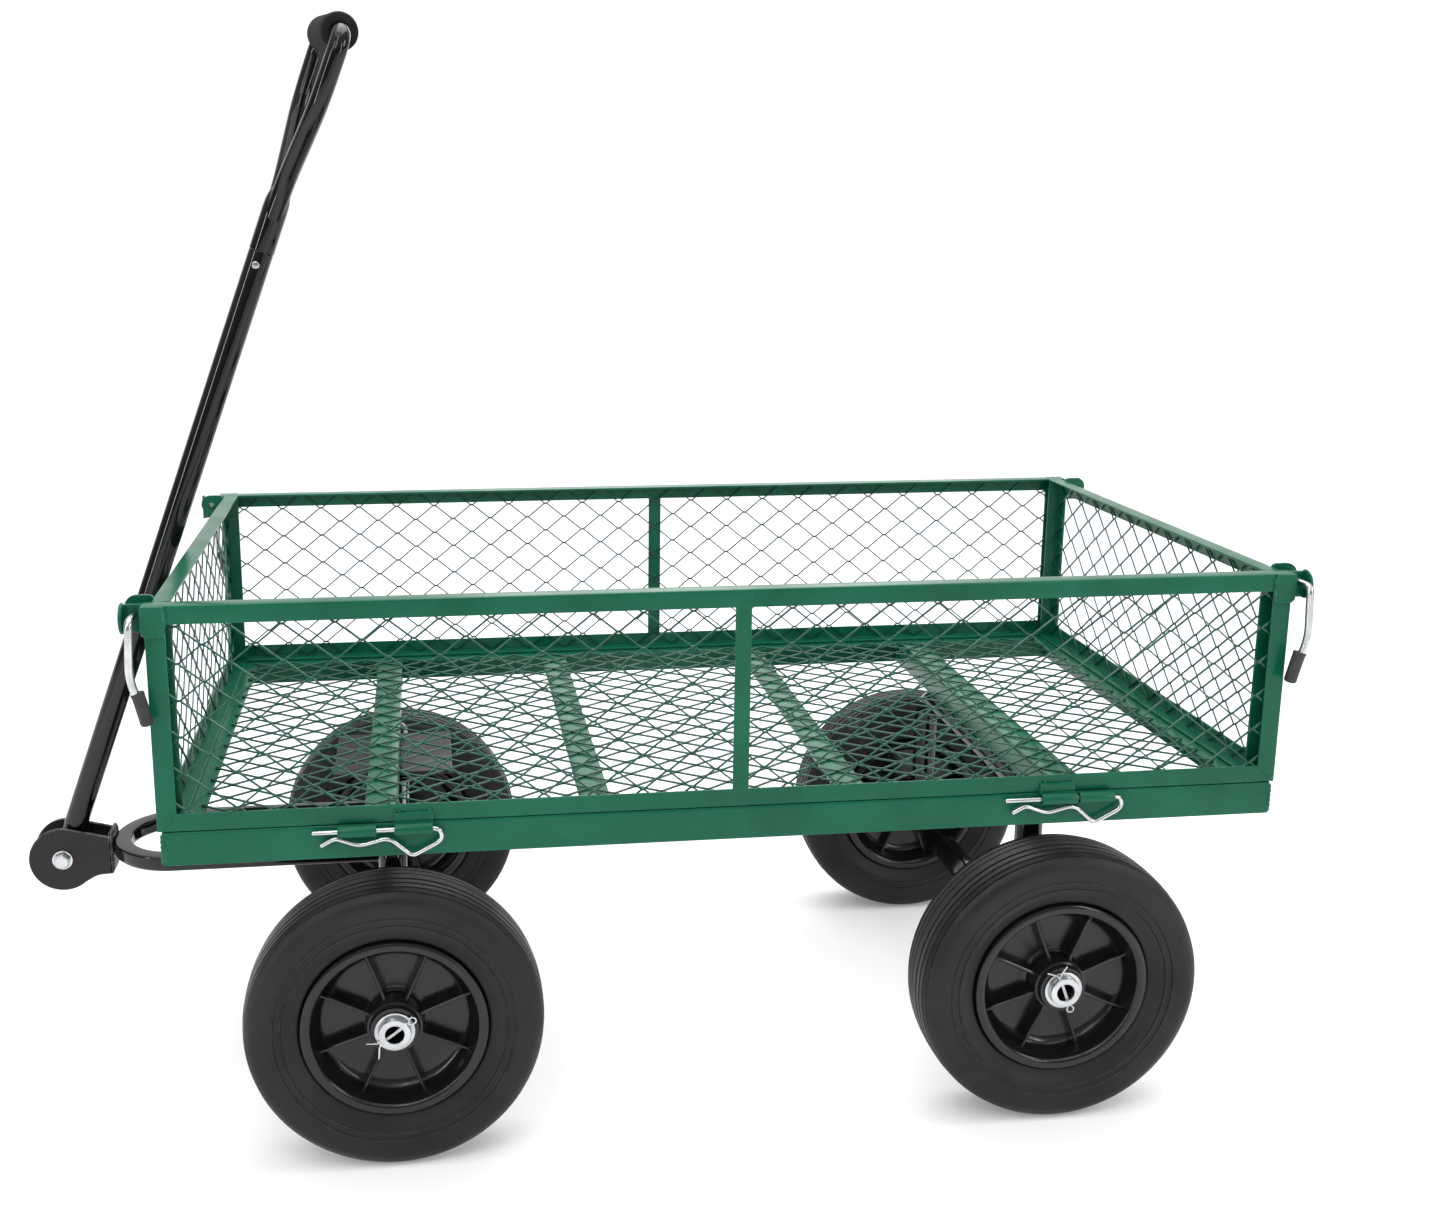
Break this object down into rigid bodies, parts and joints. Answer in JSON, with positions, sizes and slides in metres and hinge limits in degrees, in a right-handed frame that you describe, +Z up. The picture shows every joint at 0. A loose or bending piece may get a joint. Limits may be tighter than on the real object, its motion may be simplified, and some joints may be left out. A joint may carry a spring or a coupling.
{
  "type": "garden cart",
  "caption": "Steel garden cart with a mesh floor, folding mesh sides with corner latches, a steered front axle, solid wheels and a tilting pull handle.",
  "frame": {"origin": "on the ground, under the middle of the whole outline", "axes": "+X to the rear of the cart, away from the handle; +Y to the far long side; +Z up"},
  "size_m": [1.1288, 0.526, 0.9712],
  "materials": {
    "green_steel": "gloss enamel",
    "green_mesh": "gloss enamel",
    "zinc_steel": "bright zinc plating",
    "tip_rubber": "moulded rubber",
    "tyre": "moulded solid rubber",
    "rim_plastic": "gloss black",
    "clevis_steel": "satin black",
    "black_steel": "gloss black enamel",
    "grip_foam": "closed-cell foam"
  },
  "bodies": {
    "bed": {"bed_rail_near": "green_steel", "bed_rail_far": "green_steel", "bed_rail_rear": "green_steel", "bed_rail_front": "green_steel", "front_side_frame": "green_steel", "front_side_mesh": "green_mesh", "near_hinge_clip_1": "zinc_steel", "near_hinge_clip_2": "zinc_steel", "far_hinge_clip_1": "zinc_steel", "far_hinge_clip_2": "zinc_steel", "rear_hinge_clip_1": "zinc_steel", "rear_hinge_clip_2": "zinc_steel", "front_hinge_clip_1": "zinc_steel", "front_hinge_clip_2": "zinc_steel", "floor_strip_1": "green_steel", "floor_strip_2": "green_steel", "floor_strip_3": "green_steel", "floor_strip_4": "green_steel", "floor_mesh": "green_mesh", "front_cross_beam": "green_steel", "rear_cross_beam": "green_steel", "rear_axle_frame": "black_steel", "rear_axle": "zinc_steel", "cotter_pin_rear_near": "zinc_steel", "cotter_pin_rear_far": "zinc_steel", "kingpin": "zinc_steel"},
    "near_side": {"near_side_frame": "green_steel", "near_side_mesh": "green_mesh"},
    "far_side": {"far_side_frame": "green_steel", "far_side_mesh": "green_mesh"},
    "rear_side": {"rear_side_frame": "green_steel", "rear_side_mesh": "green_mesh"},
    "latch_front_near": {"latch_rod_front_near": "zinc_steel", "latch_tip_front_near": "tip_rubber"},
    "wheel_front_near": {"tyre_front_near": "tyre", "rim_front_near": "rim_plastic"},
    "latch_front_far": {"latch_rod_front_far": "zinc_steel", "latch_tip_front_far": "tip_rubber"},
    "wheel_front_far": {"tyre_front_far": "tyre", "rim_front_far": "rim_plastic"},
    "latch_rear_near": {"latch_rod_rear_near": "zinc_steel", "latch_tip_rear_near": "tip_rubber"},
    "wheel_rear_near": {"tyre_rear_near": "tyre", "rim_rear_near": "rim_plastic"},
    "latch_rear_far": {"latch_rod_rear_far": "zinc_steel", "latch_tip_rear_far": "tip_rubber"},
    "wheel_rear_far": {"tyre_rear_far": "tyre", "rim_rear_far": "rim_plastic"},
    "front_axle": {"front_axle_frame": "black_steel", "front_axle": "zinc_steel", "cotter_pin_front_near": "zinc_steel", "cotter_pin_front_far": "zinc_steel", "tow_bar": "black_steel", "clevis": "clevis_steel", "clevis_bolt": "zinc_steel"},
    "handle": {"handle_pivot_sleeve": "black_steel", "handle_lower_tube": "black_steel", "handle_loop": "black_steel", "handle_grip": "grip_foam", "handle_button": "zinc_steel"}
  },
  "joints": [
    {"name": "steering", "type": "hinge", "parent": "bed", "child": "front_axle", "pos_m": [-0.21937, 0, 0.262], "axis": [0, 0, 1], "range_deg": [-18, 18]},
    {"name": "handle_tilt", "type": "hinge", "parent": "front_axle", "child": "handle", "pos_m": [-0.53338, 0, 0.1966], "axis": [0, -1, 0], "range_deg": [0, 122]},
    {"name": "wheel_spin_front_near", "type": "hinge", "parent": "front_axle", "child": "wheel_front_near", "pos_m": [-0.21937, -0.2175, 0.127], "axis": [0, 1, 0], "continuous": true},
    {"name": "wheel_spin_front_far", "type": "hinge", "parent": "front_axle", "child": "wheel_front_far", "pos_m": [-0.21937, 0.2175, 0.127], "axis": [0, 1, 0], "continuous": true},
    {"name": "wheel_spin_rear_near", "type": "hinge", "parent": "bed", "child": "wheel_rear_near", "pos_m": [0.36562, -0.2175, 0.127], "axis": [0, 1, 0], "continuous": true},
    {"name": "wheel_spin_rear_far", "type": "hinge", "parent": "bed", "child": "wheel_rear_far", "pos_m": [0.36562, 0.2175, 0.127], "axis": [0, 1, 0], "continuous": true},
    {"name": "near_side_fold", "type": "hinge", "parent": "bed", "child": "near_side", "pos_m": [0.07162, -0.2527, 0.3096], "axis": [1, 0, 0], "range_deg": [0, 165]},
    {"name": "far_side_fold", "type": "hinge", "parent": "bed", "child": "far_side", "pos_m": [0.07162, 0.2527, 0.3096], "axis": [-1, 0, 0], "range_deg": [0, 165]},
    {"name": "rear_side_fold", "type": "hinge", "parent": "bed", "child": "rear_side", "pos_m": [0.54692, 0, 0.3096], "axis": [0, 1, 0], "range_deg": [0, 165]},
    {"name": "latch_turn_front_near", "type": "hinge", "parent": "near_side", "child": "latch_front_near", "pos_m": [-0.41087, -0.2474, 0.491], "axis": [0, 1, 0], "range_deg": [0, 90]},
    {"name": "latch_turn_front_far", "type": "hinge", "parent": "far_side", "child": "latch_front_far", "pos_m": [-0.41087, 0.2474, 0.491], "axis": [0, 1, 0], "range_deg": [0, 90]},
    {"name": "latch_turn_rear_near", "type": "hinge", "parent": "near_side", "child": "latch_rear_near", "pos_m": [0.55412, -0.2474, 0.491], "axis": [0, -1, 0], "range_deg": [0, 90]},
    {"name": "latch_turn_rear_far", "type": "hinge", "parent": "far_side", "child": "latch_rear_far", "pos_m": [0.55412, 0.2474, 0.491], "axis": [0, -1, 0], "range_deg": [0, 90]}
  ]
}
